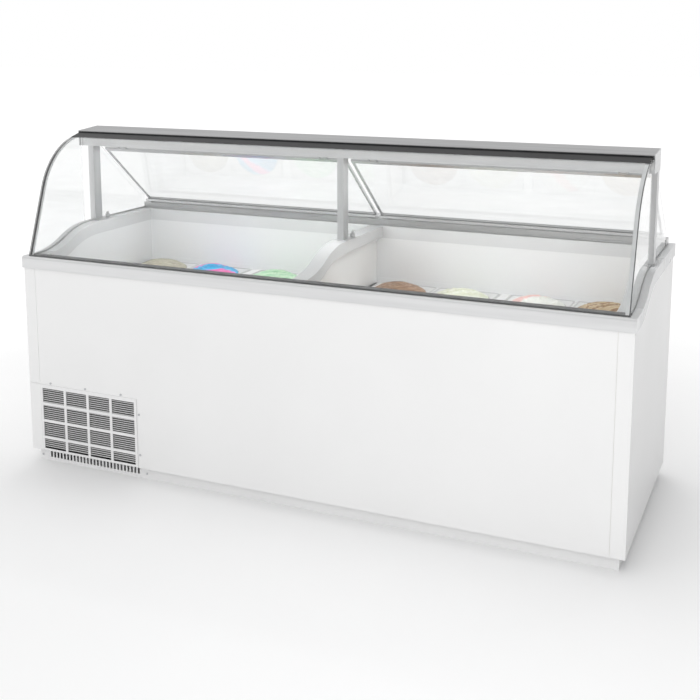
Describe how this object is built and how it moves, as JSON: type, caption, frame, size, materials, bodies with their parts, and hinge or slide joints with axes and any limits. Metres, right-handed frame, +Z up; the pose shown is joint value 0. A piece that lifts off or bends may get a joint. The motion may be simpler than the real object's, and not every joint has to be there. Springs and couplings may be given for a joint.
{
  "type": "chest freezer",
  "caption": "Ice-cream dipping chest freezer with a curved glass front, canopy and posts, swing-up rear lids, tubs under lift-out collars, and its refrigeration unit behind a grille.",
  "frame": {"origin": "on the floor, under the middle of the whole freezer", "axes": "+X to the right seen from the customer's side, along the length; +Y from the customer's side to the server's side; +Z up"},
  "size_m": [2.245, 0.84, 1.25],
  "materials": {
    "white_steel": "smooth white gloss paint",
    "aluminium": "satin anodised extrusion",
    "galvanised": "plain galvanised steel",
    "foam": "foamed insulation",
    "liner_white": "white painted steel tank",
    "grey_plastic": "light grey moulded trim",
    "white_plastic": "white moulded plastic",
    "black_rubber": "black rubber seal",
    "black_plastic": "black moulded plastic",
    "black_steel": "black painted steel",
    "glass": "clear tempered glass",
    "copper": "bare copper tube",
    "tub_board": "waxed board tub",
    "ice_cream": "frozen ice cream"
  },
  "bodies": {
    "cabinet": {"base_rails": "galvanised", "base_pan": "galvanised", "kick_plates": "white_steel", "front_panel": "white_steel", "corner_strips": "white_steel", "side_panel_left": "white_steel", "side_panel_right": "white_steel", "rear_panel": "white_steel", "front_grille": "white_plastic", "cabinet_screws": "galvanised", "insulation": "foam", "inner_liner": "liner_white", "drain_tube": "white_plastic", "breaker_trim": "grey_plastic", "side_cap_left": "aluminium", "side_cap_right": "aluminium", "front_rail": "aluminium", "rear_rail": "aluminium", "centre_bridge": "aluminium", "centre_partition": "white_plastic", "tank_ledges": "liner_white", "tub_shelves": "galvanised", "ice_cream_tubs": "tub_board", "ice_cream": "ice_cream", "posts": "aluminium", "post_feet": "aluminium", "canopy_top": "aluminium", "canopy_beam": "aluminium", "canopy_end_caps": "aluminium", "front_glass": "glass", "glass_edge_strips": "black_rubber", "glass_gaskets": "black_rubber", "end_glasses": "glass", "end_seals": "black_rubber", "hinge_brackets": "galvanised", "lid_bumpers": "white_plastic", "evaporator_coils": "copper", "condenser": "aluminium", "fan_shroud": "galvanised", "fan_motor": "black_steel", "compressor": "black_steel", "refrigerant_lines": "copper", "control_box": "black_plastic", "cord_gland": "black_plastic"},
    "lid_left": {"lid_left_pane": "glass", "lid_left_frame": "aluminium", "lid_left_handle": "aluminium"},
    "lid_right": {"lid_right_pane": "glass", "lid_right_frame": "aluminium", "lid_right_handle": "aluminium"},
    "knob_left": {"post_knob_left": "black_plastic"},
    "knob_centre": {"post_knob_centre": "black_plastic"},
    "knob_right": {"post_knob_right": "black_plastic"},
    "fan": {"fan_blade": "black_plastic"},
    "dial": {"thermostat_dial": "black_plastic"},
    "rocker": {"power_switch": "black_plastic"},
    "collar_1": {"tub_collar_1": "white_plastic"},
    "collar_2": {"tub_collar_2": "white_plastic"},
    "collar_3": {"tub_collar_3": "white_plastic"},
    "collar_4": {"tub_collar_4": "white_plastic"}
  },
  "joints": [
    {"name": "lid_left_hinge", "type": "hinge", "parent": "cabinet", "child": "lid_left", "pos_m": [0, 0.05, 1.168], "axis": [1, 0, 0], "range_deg": [0, 125]},
    {"name": "lid_right_hinge", "type": "hinge", "parent": "cabinet", "child": "lid_right", "pos_m": [0, 0.05, 1.168], "axis": [1, 0, 0], "range_deg": [0, 125]},
    {"name": "knob_left_turn", "type": "hinge", "parent": "cabinet", "child": "knob_left", "pos_m": [-1.079, 0.056, 0.882], "axis": [0, 0, 1], "continuous": true},
    {"name": "knob_centre_turn", "type": "hinge", "parent": "cabinet", "child": "knob_centre", "pos_m": [0.016, 0.056, 0.882], "axis": [0, 0, 1], "continuous": true},
    {"name": "knob_right_turn", "type": "hinge", "parent": "cabinet", "child": "knob_right", "pos_m": [1.079, 0.056, 0.882], "axis": [0, 0, 1], "continuous": true},
    {"name": "fan_spin", "type": "hinge", "parent": "cabinet", "child": "fan", "pos_m": [-0.87, -0.313, 0.175], "axis": [0, 1, 0], "continuous": true},
    {"name": "dial_turn", "type": "hinge", "parent": "cabinet", "child": "dial", "pos_m": [-0.714, 0.4, 0.245], "axis": [0, 1, 0], "range_deg": [0, 270]},
    {"name": "rocker_tilt", "type": "hinge", "parent": "cabinet", "child": "rocker", "pos_m": [-0.664, 0.3983, 0.245], "axis": [1, 0, 0], "range_deg": [0, 16]},
    {"name": "collar_1_lift", "type": "slide", "parent": "cabinet", "child": "collar_1", "axis": [0, 0, 1], "range_m": [0, 0.08]},
    {"name": "collar_2_lift", "type": "slide", "parent": "cabinet", "child": "collar_2", "axis": [0, 0, 1], "range_m": [0, 0.08]},
    {"name": "collar_3_lift", "type": "slide", "parent": "cabinet", "child": "collar_3", "axis": [0, 0, 1], "range_m": [0, 0.08]},
    {"name": "collar_4_lift", "type": "slide", "parent": "cabinet", "child": "collar_4", "axis": [0, 0, 1], "range_m": [0, 0.08]}
  ]
}
